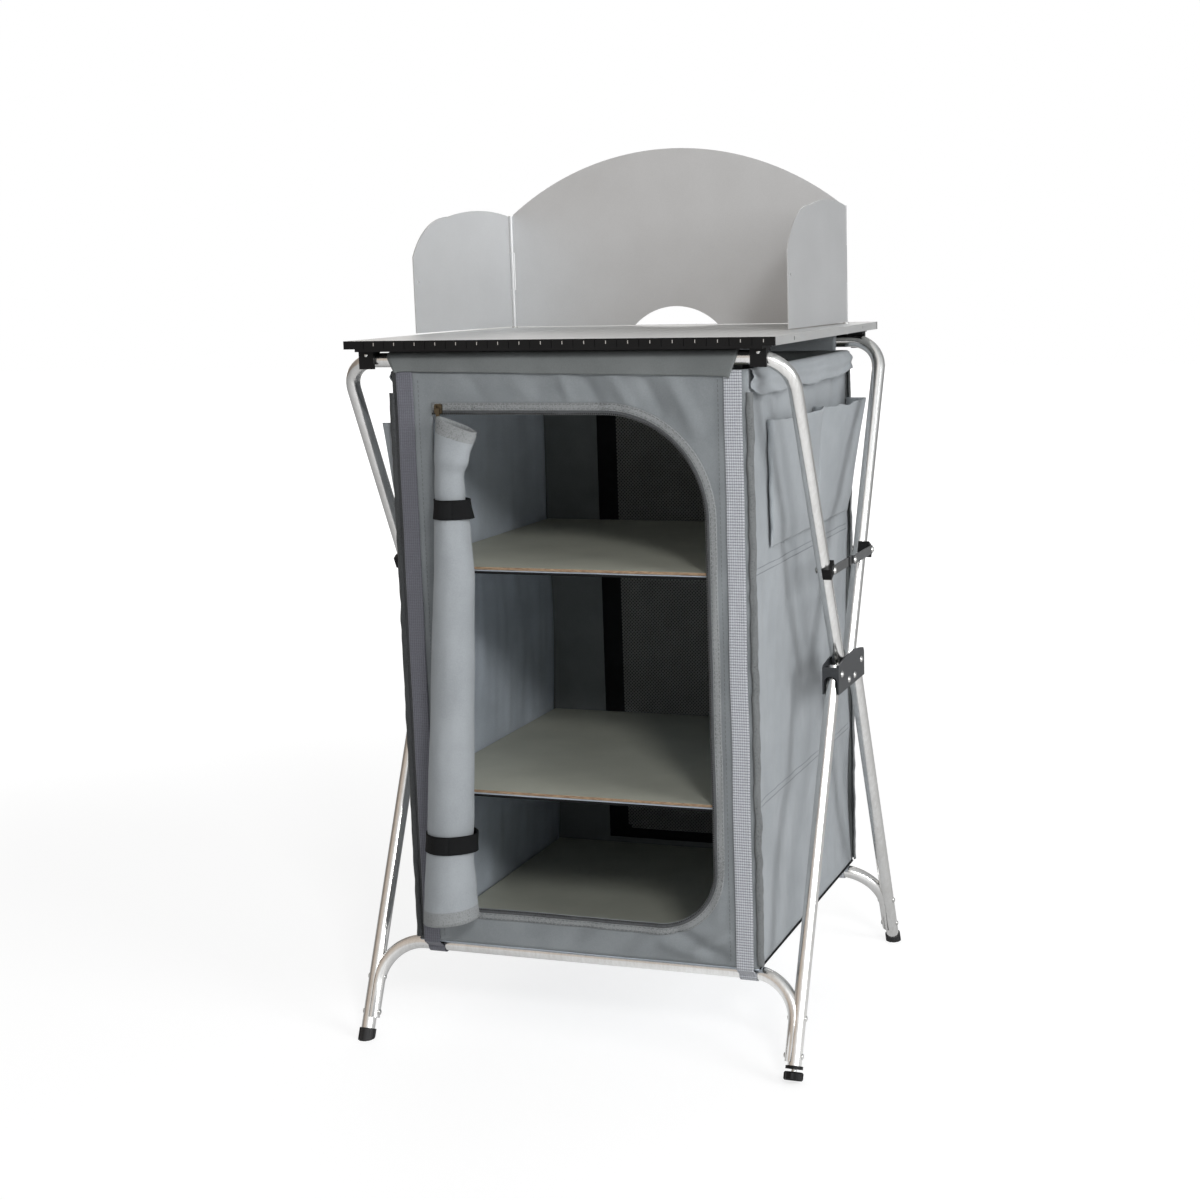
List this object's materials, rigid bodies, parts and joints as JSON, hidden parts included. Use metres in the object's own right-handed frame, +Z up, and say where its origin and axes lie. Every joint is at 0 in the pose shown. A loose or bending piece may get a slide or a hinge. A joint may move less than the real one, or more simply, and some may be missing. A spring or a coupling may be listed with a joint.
{
  "type": "folding storage table",
  "caption": "Folding camp kitchen table: a cloth cupboard with shelf boards and a roll-up door hung in a hinged tube frame, under a slatted top with a folding windshield.",
  "frame": {"origin": "on the floor, midway between the four feet", "axes": "+Z up, the open front of the cupboard faces -Y, +X is its right-hand side"},
  "size_m": [0.5546, 0.529, 1.028],
  "materials": {
    "polished_tube": "polished, lightly worn",
    "slat_aluminium": "satin",
    "rivet_steel": "satin",
    "bracket_black": "dark satin",
    "stay_grey": "dark satin",
    "black_plastic": "matt",
    "foot_rubber": "matt",
    "shield_metal": "light satin",
    "grey_cloth": "woven",
    "dark_mesh": "open mesh",
    "webbing": "ribbed",
    "zip_cloth": "woven",
    "tie_black": "woven",
    "board_grey": "painted board",
    "zip_metal": "aged",
    "elastic": "woven cover"
  },
  "bodies": {
    "cupboard": {"hub_bracket_left": "bracket_black", "hub_bracket_right": "bracket_black", "hub_rivets": "rivet_steel", "cupboard_front_wall": "grey_cloth", "cupboard_rear_wall": "grey_cloth", "cupboard_left_wall": "grey_cloth", "cupboard_right_wall": "grey_cloth", "cupboard_floor": "grey_cloth", "mesh_window": "dark_mesh", "shelf_hammocks": "grey_cloth", "door_zip_tape": "zip_cloth", "webbing_straps": "webbing", "pocket_right_front": "grey_cloth", "pocket_right_rear": "grey_cloth", "side_pockets_left": "grey_cloth", "side_flaps": "grey_cloth", "door_roll": "grey_cloth", "door_ties": "tie_black"},
    "upper_front": {"upper_front_frame": "polished_tube", "front_bar_sleeve": "grey_cloth", "stay_saddles_front": "black_plastic", "stay_rivets_front": "rivet_steel"},
    "upper_rear": {"upper_rear_frame": "polished_tube", "rear_bar_sleeve": "grey_cloth", "stay_saddles_rear": "black_plastic", "stay_rivets_rear": "rivet_steel"},
    "lower_front": {"lower_front_leg_left": "polished_tube", "lower_front_leg_right": "polished_tube", "lower_front_cross_tube": "polished_tube", "foot_cap_front_left": "foot_rubber", "levelling_socket": "black_plastic"},
    "lower_rear": {"lower_rear_leg_left": "polished_tube", "lower_rear_leg_right": "polished_tube", "lower_rear_cross_tube": "polished_tube", "foot_caps_rear": "foot_rubber"},
    "levelling_screw": {"levelling_stud": "rivet_steel"},
    "levelling_foot": {"levelling_knob": "black_plastic"},
    "stay_front_left": {"stay_link_front_left": "stay_grey", "stay_collar_left": "black_plastic"},
    "stay_front_right": {"stay_link_front_right": "stay_grey", "stay_collar_right": "black_plastic"},
    "stay_rear_left": {"stay_link_rear_left": "stay_grey", "stay_middle_rivet_left": "rivet_steel"},
    "stay_rear_right": {"stay_link_rear_right": "stay_grey", "stay_middle_rivet_right": "rivet_steel"},
    "worktop": {"top_slats": "slat_aluminium", "slat_end_caps": "black_plastic", "elastic_cords": "elastic", "top_rails": "black_plastic", "shield_panel": "shield_metal", "shield_hinge_pins": "rivet_steel"},
    "wing_left": {"shield_wing_left": "shield_metal"},
    "wing_right": {"shield_wing_right": "shield_metal"},
    "board_upper": {"shelf_board_upper": "board_grey"},
    "board_middle": {"shelf_board_middle": "board_grey"},
    "board_lower": {"shelf_board_lower": "board_grey"},
    "slider": {"zip_slider": "zip_metal"},
    "pull": {"zip_pull": "zip_metal"}
  },
  "joints": [
    {"name": "fold", "type": "hinge", "parent": "cupboard", "child": "upper_front", "pos_m": [0, -0.013, 0.406], "axis": [-1, 0, 0], "range_deg": [0, 26.3], "deforming": ["cupboard_front_wall", "cupboard_rear_wall", "cupboard_left_wall", "cupboard_right_wall", "cupboard_floor", "mesh_window", "shelf_hammocks", "door_zip_tape", "webbing_straps", "pocket_right_front", "pocket_right_rear", "side_pockets_left", "side_flaps", "door_roll", "door_ties"]},
    {"name": "upper_rear_fold", "type": "hinge", "parent": "cupboard", "child": "upper_rear", "pos_m": [0, 0.013, 0.406], "axis": [1, 0, 0], "range_deg": [0, 26.31]},
    {"name": "lower_front_fold", "type": "hinge", "parent": "cupboard", "child": "lower_front", "pos_m": [0, -0.045, 0.4185], "axis": [1, 0, 0], "range_deg": [0, 25.21]},
    {"name": "lower_rear_fold", "type": "hinge", "parent": "cupboard", "child": "lower_rear", "pos_m": [0, 0.045, 0.4185], "axis": [-1, 0, 0], "range_deg": [0, 25.21]},
    {"name": "levelling_screw_travel", "type": "slide", "parent": "lower_front", "child": "levelling_screw", "axis": [0, -0.4259, -0.9048], "range_m": [-0.002, 0.004]},
    {"name": "levelling_knob_turn", "type": "hinge", "parent": "levelling_screw", "child": "levelling_foot", "pos_m": [0.26, -0.242, 0], "axis": [0, -0.4259, -0.9048], "range_deg": [-721, 1441]},
    {"name": "worktop_lift", "type": "slide", "parent": "cupboard", "child": "worktop", "axis": [0, 0, 1], "range_m": [0, 0.301]},
    {"name": "wing_left_fold", "type": "hinge", "parent": "worktop", "child": "wing_left", "pos_m": [-0.221, 0.179, 0.88], "axis": [0, 0, 1], "range_deg": [-82, 97]},
    {"name": "wing_right_fold", "type": "hinge", "parent": "worktop", "child": "wing_right", "pos_m": [0.221, 0.179, 0.88], "axis": [0, 0, 1], "range_deg": [-86.4, 93]},
    {"name": "zip_slider_run", "type": "slide", "parent": "upper_front", "child": "slider", "axis": [1, 0, 0], "range_m": [0, 0.185]},
    {"name": "zip_pull_swing", "type": "hinge", "parent": "slider", "child": "pull", "pos_m": [-0.143, -0.2134, 0.7345], "axis": [-1, 0, 0], "range_deg": [0, 150]},
    {"name": "stay_front_left_fold", "type": "hinge", "parent": "upper_front", "child": "stay_front_left", "pos_m": [-0.27, -0.08177, 0.545], "axis": [-1, 0, 0], "range_deg": [0, 54.53]},
    {"name": "stay_rear_left_fold", "type": "hinge", "parent": "upper_rear", "child": "stay_rear_left", "pos_m": [-0.27, 0.08177, 0.545], "axis": [1, 0, 0], "range_deg": [0, 54.53]},
    {"name": "stay_front_right_fold", "type": "hinge", "parent": "upper_front", "child": "stay_front_right", "pos_m": [0.27, -0.08177, 0.545], "axis": [-1, 0, 0], "range_deg": [0, 54.53]},
    {"name": "stay_rear_right_fold", "type": "hinge", "parent": "upper_rear", "child": "stay_rear_right", "pos_m": [0.27, 0.08177, 0.545], "axis": [1, 0, 0], "range_deg": [0, 54.53]},
    {"name": "board_upper_slide", "type": "slide", "parent": "cupboard", "child": "board_upper", "axis": [0, -1, 0], "range_m": [0, 0.451]},
    {"name": "board_middle_slide", "type": "slide", "parent": "cupboard", "child": "board_middle", "axis": [0, -1, 0], "range_m": [0, 0.451]},
    {"name": "board_lower_slide", "type": "slide", "parent": "cupboard", "child": "board_lower", "axis": [0, -1, 0], "range_m": [0, 0.451]}
  ],
  "couplings": [
    {"joint": "upper_rear_fold", "follows": "fold", "ratio": 1},
    {"joint": "lower_front_fold", "follows": "fold", "ratio": 0.95757},
    {"joint": "lower_rear_fold", "follows": "fold", "ratio": 0.95757},
    {"joint": "levelling_knob_turn", "follows": "levelling_screw_travel", "rad_per_m": 6283.2},
    {"joint": "worktop_lift", "follows": "fold", "m_per_rad": 0.65356},
    {"joint": "stay_front_left_fold", "follows": "fold", "ratio": 2.0714},
    {"joint": "stay_rear_left_fold", "follows": "fold", "ratio": 2.0714},
    {"joint": "stay_front_right_fold", "follows": "fold", "ratio": 2.0714},
    {"joint": "stay_rear_right_fold", "follows": "fold", "ratio": 2.0714},
    {"joint": "board_upper_slide", "follows": "fold", "m_per_rad": 0.98035},
    {"joint": "board_middle_slide", "follows": "fold", "m_per_rad": 0.98035},
    {"joint": "board_lower_slide", "follows": "fold", "m_per_rad": 0.98035}
  ]
}
